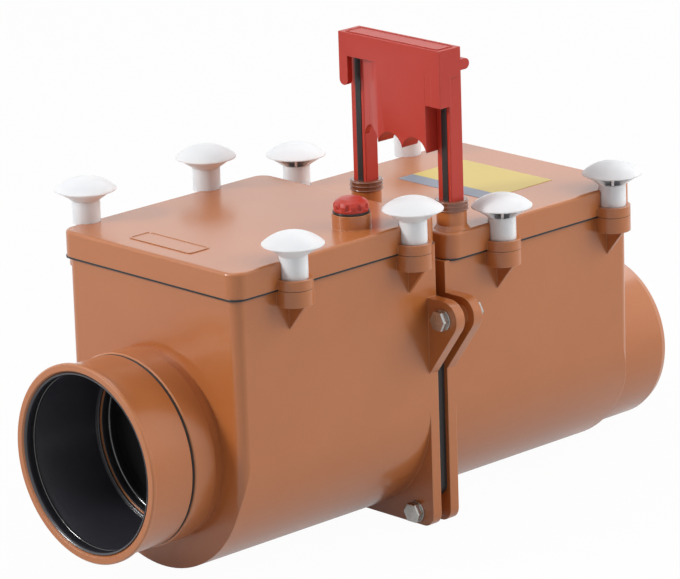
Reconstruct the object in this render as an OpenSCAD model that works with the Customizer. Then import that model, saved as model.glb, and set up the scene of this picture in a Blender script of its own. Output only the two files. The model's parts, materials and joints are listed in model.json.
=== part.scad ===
// Backwater valve with two chambers, a flap in each chamber and a push-down lock.
// X runs with the flow, from the inlet socket to the outlet spigot, and Z is up.
// The origin is on the standing plane, in the middle of the joint between the chambers.

/* [Pipes] */
// Outside diameter of the drain pipe that both ends take
pipe_d = 160; // [156:1:163]
// Radial clearance of that pipe in the inlet socket
pipe_clear = 0.3; // [0.1:0.1:0.5]
// Height of the inlet axis above the standing plane
inlet_z = 118; // [114:1:124]
// Height of the outlet axis above the standing plane
outlet_z = 84; // [83:1:95]
// Wall of the outlet spigot
spigot_wall = 4.7; // [3:0.1:6]
// Length of the outlet spigot outside its chamber
spigot_l = 86; // [60:1:120]

/* [Inlet socket] */
// Length of the socket outside its collar
socket_l = 52; // [40:1:60]
// Wall of the socket
socket_wall = 4.5; // [3:0.1:5]
// Thickness of the rubber lining in the socket
lining_t = 3.2; // [2:0.1:4]
// Height and width of the bead round the socket's mouth
bead = 3.4; // [1:0.1:4]
// Length of the collar that carries the socket
collar_l = 34; // [28:1:44]
// Width of the groove between the socket and the collar
groove_w = 2; // [1:0.1:3]

/* [Chambers] */
// Outside width of both chambers
chamber_w = 224; // [218:1:240]
// Wall of the chambers
wall = 4.5; // [3.5:0.1:6]
// Distance from the joint's middle to a chamber's far end
chamber_end = 250; // [240:1:270]
// Height of the inlet chamber's floor, outside
inlet_floor = 1; // [1:1:4]
// Height of the outlet chamber's floor, outside
outlet_floor = 2; // [1:1:3]
// Height of the inlet lid's top
inlet_top = 295; // [290:1:310]
// Height of the outlet lid's top
outlet_top = 274; // [270:1:285]
// Length of the feet under the far ends
foot_l = 60; // [40:1:80]
// Width of the feet
foot_w = 28; // [20:1:40]

/* [Joint] */
// Gap between the two flanges
joint_gap = 12; // [10:1:14]
// Thickness of each flange
flange_t = 10.5; // [9:0.5:12]
// Thickness of each flat gasket
gasket_t = 1; // [0.5:0.1:2]
// Corner radius at the foot of the flanges
flange_r = 12; // [8:1:16]
// Distance of the upper bolts from the middle
bolt_high_y = 131; // [126:0.5:134]
// Height of the upper bolts
bolt_high_z = 203; // [190:1:210]
// Distance of the lower bolts from the middle
bolt_low_y = 91; // [85:1:95]
// Height of the lower bolts
bolt_low_z = 12; // [11:1:16]
// Radius of the ears round the upper bolts
ear_r = 17; // [14:1:20]
// Drop from an upper bolt to where its ear meets the wall
ear_drop = 55; // [40:1:70]
// Bolt diameter
bolt_d = 10; // [8:1:12]
// Radial clearance of the bolts in the flanges
bolt_clear = 0.5; // [0.3:0.1:1]
// Width of the bolt heads and nuts across their flats
bolt_af = 17; // [15:1:19]
// Radius of the spacer bosses between the flanges
spacer_r = 9; // [8:0.5:11]

/* [Seat plate and flaps] */
// Height of the middle of the bore through the seat plate
seat_z = 100; // [96:1:104]
// Radius of the bore through the seat plate
seat_r = 66; // [60:1:70]
// Height of the raised seat lips
lip_h = 4; // [3:0.5:6]
// Width of the raised seat lips
lip_w = 6; // [4:0.5:8]
// Overlap of a flap outside its lip
flap_lap = 4; // [2:0.5:6]
// Thickness of a flap's disc
flap_t = 6; // [4:0.5:8]
// Thickness of a flap's rubber facing
facing_t = 3; // [2:0.5:4]
// Gap between a closed flap and its seat
flap_gap = 0.3; // [0.2:0.1:0.5]
// Hinge pin radius
hinge_r = 4; // [3:0.5:5]
// Radial clearance of a flap on its hinge pin
hinge_clear = 0.06; // [0.02:0.01:0.1]
// Half length of a flap's hinge barrel
barrel_half = 32; // [26:1:36]
// Thickness of the hinge ears
hinge_ear_t = 6; // [5:0.5:8]
// Gap between a hinge ear and the barrel
hinge_side_gap = 0.5; // [0.3:0.1:1]
// Thickness of the inlet flap's seat ring
inlet_seat_t = 8; // [6:0.5:10]
// Width of the inlet flap's seat ring
inlet_seat_w = 18; // [16:1:20]

/* [Lids] */
// Height of a lid's side
lid_h = 24; // [22:1:28]
// Thickness of a lid's top
lid_t = 4.5; // [3.5:0.5:6]
// Thickness of a lid's skirt
skirt_t = 3.5; // [3:0.1:4.5]
// Clearance between a lid's skirt and its chamber
lid_clear = 0.5; // [0.3:0.1:1]
// Overlap of the skirt over the chamber's rim
rim_lap = 3; // [2:0.5:4]
// Thickness of the lid gaskets
lid_gasket_t = 2; // [1:0.5:3]
// Width of the ledge that presses on a lid gasket
ledge_w = 6.5; // [5:0.5:8]
// Corner radius of the lids
lid_r = 14; // [12:1:18]
// Fillet along a lid's top edge
lid_fillet = 3; // [2:0.5:4]
// Distance from the joint's middle to the inlet lid's near edge
inlet_lid_edge = 4; // [3:0.5:6]
// Distance from the joint's middle to the outlet lid's near edge
outlet_lid_edge = 9; // [8:0.5:9]

/* [Lid fasteners] */
// Distance of the outer fastener on each side from the lid's middle
fast_far = 90; // [80:1:95]
// Distance of the inner fastener on each side from the lid's middle
fast_near = 57; // [45:1:65]
// Radius of a fastener's stem
stem_r = 12.8; // [11:0.1:14]
// Clearance of a stem in its pocket
stem_clear = 0.4; // [0.3:0.1:0.8]
// Wall of the tube that forms the stem
stem_wall = 2.2; // [1.5:0.1:3]
// Radius of a fastener's head
head_r = 28; // [24:0.5:30]
// Height of the head's rim above the lid
head_rim = 15; // [12:0.5:18]
// Height of the dome above the head's rim
head_dome = 11; // [8:0.5:13]
// Thickness of the head
head_t = 2.6; // [2:0.1:4]
// Half angle of the webs between the stem and the head
web_angle = 55; // [40:1:60]
// Direction of the webs on the inlet lid's fasteners
inlet_web = 46; // [0:1:90]
// Direction of the webs on the outlet lid's fasteners
outlet_web = 136; // [90:1:180]
// Height of the stem's upper end above the lid
stem_top = 5; // [3:0.5:8]
// Radius of the shank below the stem
shank_r = 6; // [5:0.1:6.2]
// Radius of the locking nib
nib_r = 2; // [1.5:0.1:2.4]
// Reach of the locking nib from the axis
nib_reach = 8; // [7.5:0.1:8.2]
// Wall of the cup round a stem's foot
cup_wall = 3.8; // [3:0.1:5]
// Height of the cup
cup_h = 9; // [8:0.5:12]
// Rise of the two rear fasteners of each lid, which stand released
rear_rise = 15; // [0:0.5:16]
// Height of the lug under a cup
lug_h = 14.5; // [13:0.5:18]
// Height of the gusset under a lug
gusset_h = 25; // [18:1:32]
// Thickness of the gussets
gusset_t = 3; // [2:0.5:4]

/* [Lock] */
// Distance of both legs from the joint's middle
leg_x = 30.5; // [28:0.5:32]
// Place of the rear leg across the flow
rear_leg_y = 12.5; // [8:0.5:14]
// Place of the front leg across the flow
front_leg_y = -98; // [-98:0.5:-92]
// Depth of a leg along the flow
leg_dx = 16; // [14:0.5:16]
// Width of a leg across the flow
leg_dy = 17; // [15:0.5:17]
// Wall of a leg at its back
leg_web = 3; // [2:0.5:4]
// Wall of a leg on its rear side
leg_thick = 8.6; // [7:0.2:9]
// Wall of a leg on its front side
leg_thin = 4.2; // [3:0.2:5]
// Depth of a leg's slot before its black strip
strip_depth = 2.5; // [1.5:0.5:4]
// Clearance of the legs in the lid
leg_clear = 0.4; // [0.3:0.1:0.6]
// Height of the handle's top above the lid
handle_h = 169; // [150:1:180]
// Height of the handle's bar
bar_h = 22; // [18:1:26]
// Depth of the handle's bar along the flow
bar_dx = 27; // [25:1:29]
// Distance of the bar's face ahead of the legs
bar_ahead = 14; // [10:1:16]
// Width of the hook at the bar's rear end
hook_w = 11; // [8:0.5:14]
// Thickness of the hook
hook_t = 6; // [4:0.5:8]
// Height of the hook at the bar's rear end
hook_h = 50; // [40:1:60]
// Thickness of the plate outside the front leg
cheek_t = 2.5; // [2:0.5:4]
// Depth of the grip under the bar along the flow
grip_dx = 20; // [18:1:22]
// Length over which the grip's face falls back to the rear leg
grip_run = 32; // [20:1:40]
// Height of the corner post ahead of the front leg
post_h = 53; // [45:1:60]
// Width of that post
post_w = 12; // [9:0.5:14]
// Drop from the handle's top to the tips of the grip
grip_drop = 97; // [85:1:97]
// Height of the finger arches
arch_h = 12; // [8:1:14]
// Travel of the lock from raised to locked
lock_travel = 45; // [38:1:45]
// Overlap of the lock's tongue and the flap's stop block when locked
lock_grip = 12; // [8:1:16]
// Outer radius of the tubes that guide the legs
guide_r = 14; // [13.6:0.1:14.6]
// Height of the guide tubes above the lid
guide_h = 17; // [14:1:20]
// Outer radius of the caps on the guide tubes
gland_r = 15; // [14.8:0.1:16]
// Height of those caps
gland_h = 9.5; // [8:0.5:9.5]
// Thickness of the wiper seals under the caps
wiper_t = 2.5; // [2:0.5:3]

/* [Test plug] */
// Distance of the test plug from the joint's middle
plug_x = 78; // [70:1:90]
// Place of the test plug across the flow
plug_y = -80; // [-84:1:-70]
// Radius of the boss under the test plug
plug_boss_r = 17.8; // [16:0.2:20]
// Height of that boss
plug_boss_h = 13; // [10:1:18]
// Radius of the plug's cap
plug_cap_r = 16; // [14:0.2:17]
// Height of the plug's cap
plug_cap_h = 12; // [9:0.5:14]
// Number of flutes round the cap
plug_flutes = 10; // [8:1:14]
// Radius of the plug's shank
plug_shank_r = 10; // [8:0.5:11]
// Length of the plug's shank
plug_shank_l = 16; // [12:1:20]

/* [Hidden] */
$fn = 64;

eps = 0.01;
over = 1;
pipe_r = pipe_d / 2;
bore_r = pipe_r + pipe_clear;
half_w = chamber_w / 2;
joint_face = joint_gap / 2;
joint_back = joint_face + flange_t;
orange = [0.72, 0.41, 0.22];
red = [0.75, 0.25, 0.2];
white = [0.93, 0.94, 0.95];
black = [0.09, 0.09, 0.1];
grey = [0.45, 0.46, 0.48];
steel = [0.72, 0.73, 0.74];

// Lid values, with heights counted from the lid's top
lid_half_w = half_w + lid_clear + skirt_t;
lid_far = chamber_end + lid_clear + skirt_t;
rim_drop = lid_h - rim_lap;
ledge_drop = rim_drop - lid_gasket_t;
side_t = skirt_t + ledge_w;
chamber_r = lid_r - skirt_t - lid_clear;
fast_y = half_w + shank_r + lid_clear;
pocket_r = stem_r + stem_clear;
cup_r = pocket_r + cup_wall;
pocket_drop = ledge_drop - 2.5;
cup_drop = pocket_drop + 8.5;
lug_drop = cup_drop + 0.5;
lug_foot = lug_drop + lug_h;
nib_clear = 0.4;
nib_drop = lug_foot - 5.5;
nib_room = nib_drop - nib_r - nib_clear - 0.6;
shank_drop = nib_drop + nib_r + 0.5;
nib_sweep = sqrt(nib_reach * nib_reach + nib_r * nib_r) + 0.2;

// Bolt places, as distance from the middle and height
bolts = [for (s = [-1, 1]) each [[s * bolt_high_y, bolt_high_z], [s * bolt_low_y, bolt_low_z]]];
bolt_hole_r = bolt_d / 2 + bolt_clear;
washer_t = 2;
washer_r = bolt_d;
head_h = 0.64 * bolt_d;
nut_h = 0.8 * bolt_d;

// Seat plate and flap values
plate_t = joint_gap - 2 * gasket_t;
plate_face = plate_t / 2;
plate_inset = 4;
plate_low = bolt_low_z + spacer_r + 3;
plate_high = bolt_high_z + 14;
outlet_flap_r = seat_r + lip_w + flap_lap;
inlet_flap_r = pipe_r - spigot_wall + lip_w + flap_lap;
inlet_bore_r = pipe_r - spigot_wall;
barrel_r = hinge_r + 4;
hinge_rise = 13;
outlet_hinge_z = seat_z + outlet_flap_r + hinge_rise;
inlet_hinge_z = inlet_z + inlet_flap_r + hinge_rise;
inlet_seat_x = -chamber_end + wall;
outlet_lip_x = plate_face;
inlet_lip_x = inlet_seat_x + inlet_seat_t;
hinge_ahead = lip_h + flap_gap + facing_t + flap_t / 2;
outlet_hinge_x = outlet_lip_x + hinge_ahead;
inlet_hinge_x = inlet_lip_x + hinge_ahead;
opening_r = outlet_flap_r + 9;
opening_top = outlet_hinge_z + barrel_r + 8;
opening_half = barrel_half + hinge_ear_t + hinge_side_gap + 6;

// Lock values
handle_top = outlet_top + handle_h;
leg_face = leg_x - leg_dx / 2;
handle_x = leg_face - bar_ahead;
bar_rear = rear_leg_y + leg_dy / 2;
bar_front = front_leg_y - leg_dy / 2 - cheek_t;
leg_foot = outlet_top - lid_t - 2;
tongue_foot = outlet_hinge_z + barrel_r + 8;
tongue_x = leg_x + leg_dx / 2 - leg_web;
guide_top = outlet_top + guide_h;
wiper_r = guide_r - 0.4;
inlet_raised = inlet_top + rear_rise;
outlet_raised = outlet_top + rear_rise;
slot_front_top = handle_top - post_h;

// Places of the fasteners on a lid, from the lid's middle
function fasteners(mid) = [
    [mid - fast_near, -fast_y], [mid + fast_far, -fast_y],
    [mid + fast_near, fast_y], [mid - fast_far, fast_y]
];
inlet_mid = -(lid_far + inlet_lid_edge) / 2;
outlet_mid = (lid_far + outlet_lid_edge) / 2;
inlet_fasteners = fasteners(inlet_mid);
outlet_fasteners = fasteners(outlet_mid);

// Point where a line from p touches a circle on its right-hand side
function touch(p, c, r) =
    let (v = c - p, d = norm(v), a = atan2(v[1], v[0]) - asin(r / d), l = sqrt(d * d - r * r))
    p + l * [cos(a), sin(a)];

// Lays a flat outline across the flow and extrudes it along X
module along_x(x0, l) {
    translate([x0, 0, 0]) rotate([90, 0, 90]) linear_extrude(l) children();
}

// A round bar along X
module bar_x(x0, l, r) {
    translate([x0, 0, 0]) rotate([0, 90, 0]) cylinder(h = l, r = r);
}

// A round bar along Y, centred
module bar_y(l, r) {
    rotate([90, 0, 0]) cylinder(h = l, r = r, center = true);
}

// A body turned about an axis along X
module turned_x() {
    rotate([90, 0, 90]) rotate_extrude($fn = 128) children();
}

// A rectangle with round corners, from its lower left corner
module round_rect(w, h, r) {
    translate([r, 0]) square([w - 2 * r, h]);
    translate([0, r]) square([w, h - 2 * r]);
    for (x = [r, w - r], y = [r, h - r]) translate([x, y]) circle(r);
}

// A hexagonal bar along X, sized across its flats
module hex_x(x0, l, af) {
    translate([x0, 0, 0]) rotate([0, 90, 0]) cylinder(h = l, d = af / cos(30), $fn = 6);
}

// Straight walls over a half-round floor, seen along the flow
module trough(half, floor_z, top_z) {
    translate([0, floor_z + half]) circle(half, $fn = 128);
    translate([-half, floor_z + half]) square([2 * half, top_z - floor_z - half]);
}

// Outline of a flange: the wall's width, square at the foot, with ears for the upper bolts
module flange_outline(top_z) {
    translate([-half_w, 0]) round_rect(chamber_w, 2 * half_w, flange_r);
    translate([-half_w, half_w]) square([chamber_w, top_z - half_w]);
    for (s = [0, 1]) mirror([s, 0]) {
        root = [half_w, bolt_high_z - ear_drop];
        ear = [bolt_high_y, bolt_high_z];
        translate(ear) circle(ear_r);
        polygon([[root[0] - over, root[1]], root, touch(root, ear, ear_r), ear,
            ear + [0, ear_r], [half_w - over, bolt_high_z + ear_r]]);
    }
}

// Opening in a flange that the flow and the outlet flap's hinge pass through
module flange_opening() {
    translate([0, seat_z]) circle(opening_r, $fn = 128);
    translate([-opening_half, seat_z]) square([2 * opening_half, opening_top - seat_z]);
}

// Lug with a bayonet pocket and a gusset, at one fastener, below a lid's top
module lug(at, top) {
    side = sign(at[1]);
    reach = fast_y + cup_r - 3;
    translate([at[0], at[1], top - lug_foot]) cylinder(h = lug_h, r = cup_r);
    translate([at[0] - gusset_t / 2, 0, 0]) rotate([90, 0, 90]) linear_extrude(gusset_t)
        translate([0, top - lug_foot]) polygon([
            [side * (half_w - over), over], [side * reach, over], [side * reach, 0],
            [side * half_w, -gusset_h], [side * (half_w - over), -gusset_h]]);
}

// Keyway and turning room for one fastener's shank and nib
module bayonet(at, top) {
    translate([at[0], at[1], top]) {
        translate([0, 0, -nib_room]) cylinder(h = nib_room - lug_drop + over, r = shank_r + nib_clear);
        translate([-nib_sweep, -nib_r - nib_clear, -nib_room])
            cube([2 * nib_sweep, 2 * (nib_r + nib_clear), nib_room - lug_drop + over]);
        translate([0, 0, -shank_drop - 0.5]) cylinder(h = shank_drop + 0.5 - nib_room + eps, r = nib_sweep);
    }
}

// One chamber, drawn with its joint towards the middle and its far end towards +X
module chamber(floor_z, top, lid_edge, places) {
    rim_z = top - rim_drop;
    rim_x = lid_edge + skirt_t + lid_clear;
    difference() {
        union() {
            intersection() {
                along_x(joint_face, chamber_end - joint_face) trough(half_w, floor_z, rim_z);
                translate([-chamber_end, -half_w, 0]) linear_extrude(top)
                    round_rect(2 * chamber_end, chamber_w, chamber_r);
            }
            along_x(joint_face, flange_t) flange_outline(top - lid_h - over);
            for (p = places) lug(p, top);
            translate([chamber_end - foot_l, -foot_w / 2, 0])
                cube([foot_l - chamber_r, foot_w, floor_z + over]);
        }
        intersection() {
            along_x(joint_back, chamber_end - wall - joint_back) trough(half_w - wall, floor_z + wall, top);
            translate([-chamber_end, -half_w + wall, 0]) linear_extrude(top + over)
                round_rect(2 * chamber_end - wall, chamber_w - 2 * wall, chamber_r - wall);
        }
        difference() {
            translate([0, -half_w - over, top - lid_h - over + eps])
                cube([rim_x + lid_r, chamber_w + 2 * over, lid_h]);
            translate([rim_x, -half_w, 0]) linear_extrude(top + over)
                round_rect(chamber_end, chamber_w, lid_r - skirt_t - lid_clear);
        }
        along_x(joint_face - over, flange_t + 2 * over) flange_opening();
        for (b = bolts) translate([0, b[0], b[1]]) bar_x(joint_face - over, flange_t + 2 * over, bolt_hole_r);
        for (p = places) bayonet(p, top);
    }
}

function mirrored(places) = [for (p = places) [-p[0], p[1]]];

module inlet_chamber() {
    color(orange) difference() {
        mirror([1, 0, 0]) chamber(inlet_floor, inlet_top, inlet_lid_edge, mirrored(inlet_fasteners));
        translate([0, 0, inlet_z]) bar_x(-chamber_end - over, wall + 2 * over, inlet_bore_r);
    }
}

module outlet_chamber() {
    color(orange) difference() {
        union() {
            chamber(outlet_floor, outlet_top, outlet_lid_edge, outlet_fasteners);
            for (b = bolts) translate([0, b[0], b[1]]) difference() {
                bar_x(-joint_face, joint_gap + eps, spacer_r);
                bar_x(-joint_face - over, joint_gap + 3 * over, bolt_hole_r);
            }
        }
        translate([0, 0, outlet_z]) bar_x(chamber_end - wall - over, wall + 2 * over, pipe_r - spigot_wall);
    }
}

// Socket for the inlet pipe, with a groove behind it, a collar and a neck at the chamber
module inlet_socket() {
    lined_r = bore_r + lining_t;
    body_r = lined_r + socket_wall;
    bead_r = body_r + bead;
    collar_r = body_r + 1.2;
    neck_r = body_r - 1;
    groove_r = body_r - 1.8;
    neck_l = 9;
    back = -collar_l;
    mouth = -collar_l - socket_l;
    color(orange) translate([-chamber_end, 0, inlet_z]) turned_x() polygon([
        [lined_r, 0], [lined_r, mouth + 2], [lined_r + 1.5, mouth],
        [bead_r - 1.2, mouth], [bead_r, mouth + 1.2], [bead_r, mouth + 3.8], [bead_r - 1.4, mouth + 5.4],
        [body_r, mouth + 6], [body_r, back - groove_w - 1], [body_r - 1, back - groove_w],
        [groove_r, back - groove_w], [groove_r, back], [collar_r - 1, back], [collar_r, back + 1],
        [collar_r, -neck_l - 1.5], [collar_r - 1.5, -neck_l], [neck_r, -neck_l], [neck_r, 0]
    ]);
}

// Rubber lining of the socket and its collar, with a rounded lip at its mouth
module inlet_socket_lining() {
    back = -chamber_end;
    mouth = -chamber_end - collar_l - socket_l;
    lined_r = bore_r + lining_t;
    color(black) translate([0, 0, inlet_z]) turned_x() polygon([
        [bore_r, back - eps], [bore_r, mouth + 6], [bore_r + 0.8, mouth + 4.4], [lined_r - 0.8, mouth + 3.6],
        [lined_r - eps, mouth + 4.4], [lined_r - eps, back - eps]
    ]);
}

// Outlet pipe end, with a shoulder against the chamber and a chamfer at its free end
module outlet_spigot() {
    color(orange) translate([chamber_end, 0, outlet_z]) turned_x() polygon([
        [pipe_r - spigot_wall, 0], [pipe_r + 1, 0], [pipe_r + 1, 6], [pipe_r, 7],
        [pipe_r, spigot_l - 6], [pipe_r - 2, spigot_l], [pipe_r - spigot_wall, spigot_l]
    ]);
}

// Two ears for a hinge pin, on a face at x, with their axis ahead of the face
module hinge_ears(face_x, axis_x, axis_z) {
    for (s = [-1, 1]) translate([0, s * (barrel_half + hinge_side_gap + hinge_ear_t / 2), 0])
        rotate([90, 0, 0]) linear_extrude(hinge_ear_t, center = true) difference() {
            union() {
                translate([axis_x, axis_z]) circle(barrel_r);
                translate([face_x, axis_z - barrel_r]) square([axis_x - face_x, 2 * barrel_r]);
            }
            translate([axis_x, axis_z]) circle(hinge_r + 0.02);
        }
}

module plate_outline(low, high, half) {
    translate([-half, low]) round_rect(2 * half, high - low, flange_r);
}

// Plate clamped between the flanges, with the bore and seat that the outlet flap closes on
module seat_plate() {
    color(black) difference() {
        union() {
            along_x(-plate_face, plate_t) plate_outline(plate_low, plate_high, half_w - plate_inset);
            translate([0, 0, seat_z]) bar_x(0, plate_face + lip_h, seat_r + lip_w);
            hinge_ears(plate_face - eps, outlet_hinge_x, outlet_hinge_z);
        }
        translate([0, 0, seat_z]) bar_x(-plate_face - over, plate_t + lip_h + 2 * over, seat_r);
    }
}

module flange_gasket(x0) {
    color(black) along_x(x0, gasket_t) difference() {
        plate_outline(plate_low, plate_high, half_w - plate_inset);
        flange_opening();
    }
}

module inlet_flange_gasket() {
    flange_gasket(-joint_face);
}

module outlet_flange_gasket() {
    flange_gasket(plate_face);
}

module flange_bolts() {
    color(steel) for (b = bolts) translate([0, b[0], b[1]]) {
        bar_x(-joint_back - washer_t - over, 2 * joint_back + 2 * washer_t + nut_h + 4, bolt_d / 2);
        hex_x(-joint_back - washer_t - head_h, head_h, bolt_af);
    }
}

module flange_washers() {
    color(steel) for (b = bolts, x = [-joint_back - washer_t, joint_back])
        translate([0, b[0], b[1]]) difference() {
            bar_x(x, washer_t, washer_r);
            bar_x(x - over, washer_t + 2 * over, bolt_d / 2 + 0.2);
        }
}

module flange_nuts() {
    color(steel) for (b = bolts) translate([0, b[0], b[1]]) difference() {
        hex_x(joint_back + washer_t, nut_h, bolt_af);
        bar_x(joint_back + washer_t - over, nut_h + 2 * over, bolt_d / 2 + 0.05);
    }
}

// Ring against the inlet wall that the inlet flap closes on
module inlet_flap_seat() {
    color(black) difference() {
        union() {
            translate([0, 0, inlet_z]) {
                bar_x(inlet_seat_x, inlet_seat_t, inlet_bore_r + inlet_seat_w);
                bar_x(inlet_seat_x, inlet_seat_t + lip_h, inlet_bore_r + lip_w);
            }
            along_x(inlet_seat_x, inlet_seat_t)
                translate([-opening_half + 6, inlet_z + inlet_bore_r])
                square([2 * opening_half - 12, inlet_hinge_z + barrel_r - inlet_z - inlet_bore_r]);
            hinge_ears(inlet_lip_x - eps, inlet_hinge_x, inlet_hinge_z);
        }
        translate([0, 0, inlet_z]) bar_x(inlet_seat_x - over, inlet_seat_t + lip_h + 2 * over, inlet_bore_r);
    }
}

module flap_pin(x, z) {
    color(steel) translate([x, 0, z]) bar_y(2 * (barrel_half + hinge_side_gap + hinge_ear_t) + 2, hinge_r);
}

module inlet_flap_pin() {
    flap_pin(inlet_hinge_x, inlet_hinge_z);
}

module outlet_flap_pin() {
    flap_pin(outlet_hinge_x, outlet_hinge_z);
}

// A flap: disc with a raised rim and ribs, two arms and a hinge barrel
module flap(lip_x, bore_z, r, hinge_x, hinge_z) {
    disc_x = lip_x + lip_h + flap_gap + facing_t;
    arm_y = barrel_half - 9;
    color(grey) difference() {
        union() {
            translate([0, 0, bore_z]) {
                bar_x(disc_x, flap_t, r);
                difference() {
                    bar_x(disc_x, flap_t + 4, r);
                    bar_x(disc_x - over, flap_t + 4 + 2 * over, r - 5);
                }
                for (y = [-arm_y, arm_y]) translate([disc_x, y - 3, -0.75 * r])
                    cube([flap_t + 5, 6, 1.5 * r]);
                for (z = [-0.4 * r, 0.15 * r]) translate([disc_x, -0.85 * r, z - 2.5])
                    cube([flap_t + 3, 1.7 * r, 5]);
            }
            for (y = [-arm_y, arm_y]) translate([disc_x, y - 5, bore_z + 0.7 * r])
                cube([flap_t + 5, 10, hinge_z - bore_z - 0.7 * r]);
            translate([hinge_x, 0, hinge_z]) bar_y(2 * barrel_half, barrel_r);
        }
        translate([hinge_x, 0, hinge_z]) bar_y(2 * barrel_half + 2 * over, hinge_r + hinge_clear);
    }
}

module flap_facing(lip_x, bore_z, r) {
    color(black) translate([0, 0, bore_z]) bar_x(lip_x + lip_h + flap_gap, facing_t, r - 1);
}

module inlet_flap() {
    flap(inlet_lip_x, inlet_z, inlet_flap_r, inlet_hinge_x, inlet_hinge_z);
}

module inlet_flap_facing() {
    flap_facing(inlet_lip_x, inlet_z, inlet_flap_r);
}

// The outlet flap also has a stop block that the lock's tongue comes down behind
module outlet_flap() {
    disc_x = outlet_lip_x + lip_h + flap_gap + facing_t;
    stop_h = 30;
    stop_z = tongue_foot - lock_travel + lock_grip - stop_h;
    flap(outlet_lip_x, seat_z, outlet_flap_r, outlet_hinge_x, outlet_hinge_z);
    color(grey) translate([disc_x, rear_leg_y - leg_dy / 2, stop_z])
        cube([tongue_x - 0.5 - disc_x, leg_dy, stop_h]);
}

module outlet_flap_facing() {
    flap_facing(outlet_lip_x, seat_z, outlet_flap_r);
}

// A lid's outside, with round corners and a fillet along its top edge
module lid_block(x0, x1) {
    hull() for (x = [x0 + lid_r, x1 - lid_r], y = [-lid_half_w + lid_r, lid_half_w - lid_r])
        translate([x, y, -lid_h]) rotate_extrude($fn = 48) {
            square([lid_r, lid_h - lid_fillet]);
            square([lid_r - lid_fillet, lid_h]);
            translate([lid_r - lid_fillet, lid_h - lid_fillet]) intersection() {
                circle(lid_fillet, $fn = 24);
                square(lid_fillet);
            }
        }
}

// Space in a lid inside an even wall, from drop low to drop high
module lid_space(x0, x1, t, low, high) {
    r = max(lid_r - t, 2);
    translate([x0 + t, -lid_half_w + t, -low]) linear_extrude(low - high)
        round_rect(x1 - x0 - 2 * t, 2 * (lid_half_w - t), r);
}

// One lid, with its fastener cups, drawn with its top at z = 0
module lid(x0, x1, places) {
    difference() {
        union() {
            difference() {
                lid_block(x0, x1);
                lid_space(x0, x1, side_t, ledge_drop + eps, lid_t);
            }
            for (p = places) translate([p[0], p[1], -cup_drop]) cylinder(h = cup_h, r = cup_r);
            intersection() {
                for (p = places) translate([p[0], p[1], -ledge_drop])
                    cylinder(h = ledge_drop - lid_t / 2, r = cup_r);
                translate([x0, -lid_half_w + skirt_t / 2, -lid_h])
                    cube([x1 - x0, 2 * lid_half_w - skirt_t, lid_h]);
            }
        }
        lid_space(x0, x1, skirt_t, cup_drop + over, ledge_drop);
        for (p = places) translate([p[0], p[1], 0]) {
            translate([0, 0, -pocket_drop]) cylinder(h = pocket_drop + over, r = pocket_r);
            translate([0, 0, -cup_drop - over]) cylinder(h = cup_drop, r = shank_r + nib_clear);
            translate([-nib_sweep, -nib_r - nib_clear, -cup_drop - over])
                cube([2 * nib_sweep, 2 * (nib_r + nib_clear), cup_drop]);
        }
    }
}

module lid_gasket(x0, x1) {
    inset = skirt_t + lid_clear + 0.2;
    difference() {
        lid_space(x0, x1, inset, rim_drop - 0.1, ledge_drop);
        lid_space(x0, x1, inset + wall - 1.1, rim_drop + over, ledge_drop - over);
    }
}

// The inlet lid carries the boss of the test plug
module inlet_lid() {
    color(orange) translate([0, 0, inlet_top]) difference() {
        union() {
            lid(-lid_far, -inlet_lid_edge, inlet_fasteners);
            translate([-plug_x, plug_y, -lid_t]) cylinder(h = lid_t + plug_boss_h, r = plug_boss_r);
        }
        translate([-plug_x, plug_y, -lid_t - over])
            cylinder(h = lid_t + plug_boss_h + 2 * over, r = plug_shank_r + 0.4);
    }
}

module inlet_lid_gasket() {
    color(black) translate([0, 0, inlet_top]) lid_gasket(-lid_far, -inlet_lid_edge);
}

// Opening for a leg with an even clearance
module leg_hole(y, z0, h, clear) {
    translate([leg_x - leg_dx / 2 - clear, y - leg_dy / 2 - clear, z0])
        cube([leg_dx + 2 * clear, leg_dy + 2 * clear, h]);
}

// The outlet lid carries the two guide tubes of the lock
module outlet_lid() {
    color(orange) difference() {
        union() {
            translate([0, 0, outlet_top]) lid(outlet_lid_edge, lid_far, outlet_fasteners);
            for (y = [rear_leg_y, front_leg_y]) translate([leg_x, y, outlet_top]) {
                translate([0, 0, -lid_t]) cylinder(h = lid_t + guide_h, r = guide_r);
                cylinder(h = 4, r1 = guide_r + 3, r2 = guide_r - eps);
            }
        }
        for (y = [rear_leg_y, front_leg_y])
            leg_hole(y, outlet_top - lid_h, lid_h + guide_h + over, leg_clear);
    }
}

module outlet_lid_gasket() {
    color(black) translate([0, 0, outlet_top]) lid_gasket(outlet_lid_edge, lid_far);
}

// Caps on the guide tubes, each with a recess for its wiper seal
module gland_caps() {
    color(orange) for (y = [rear_leg_y, front_leg_y]) difference() {
        translate([leg_x, y, guide_top]) {
            cylinder(h = gland_h - 1, r = gland_r);
            cylinder(h = gland_h, r = gland_r - 1);
        }
        translate([leg_x, y, guide_top - over]) cylinder(h = wiper_t + over, r = wiper_r + 0.1);
        leg_hole(y, guide_top, gland_h + over, leg_clear);
    }
}

module wiper_seals() {
    color(black) for (y = [rear_leg_y, front_leg_y]) difference() {
        translate([leg_x, y, guide_top]) cylinder(h = wiper_t, r = wiper_r);
        leg_hole(y, guide_top - over, wiper_t + 2 * over, leg_clear - 0.1);
    }
}

// A leg of the lock: a channel open towards the inlet, with its slot up to slot_top
module leg(y, foot, slot_top) {
    difference() {
        translate([leg_x - leg_dx / 2, y - leg_dy / 2, foot])
            cube([leg_dx, leg_dy, handle_top - bar_h - foot]);
        translate([leg_x - leg_dx / 2 - over, y - leg_dy / 2 + leg_thin, foot - over])
            cube([leg_dx - leg_web + over, leg_dy - leg_thin - leg_thick, slot_top - foot + over]);
    }
}

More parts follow.
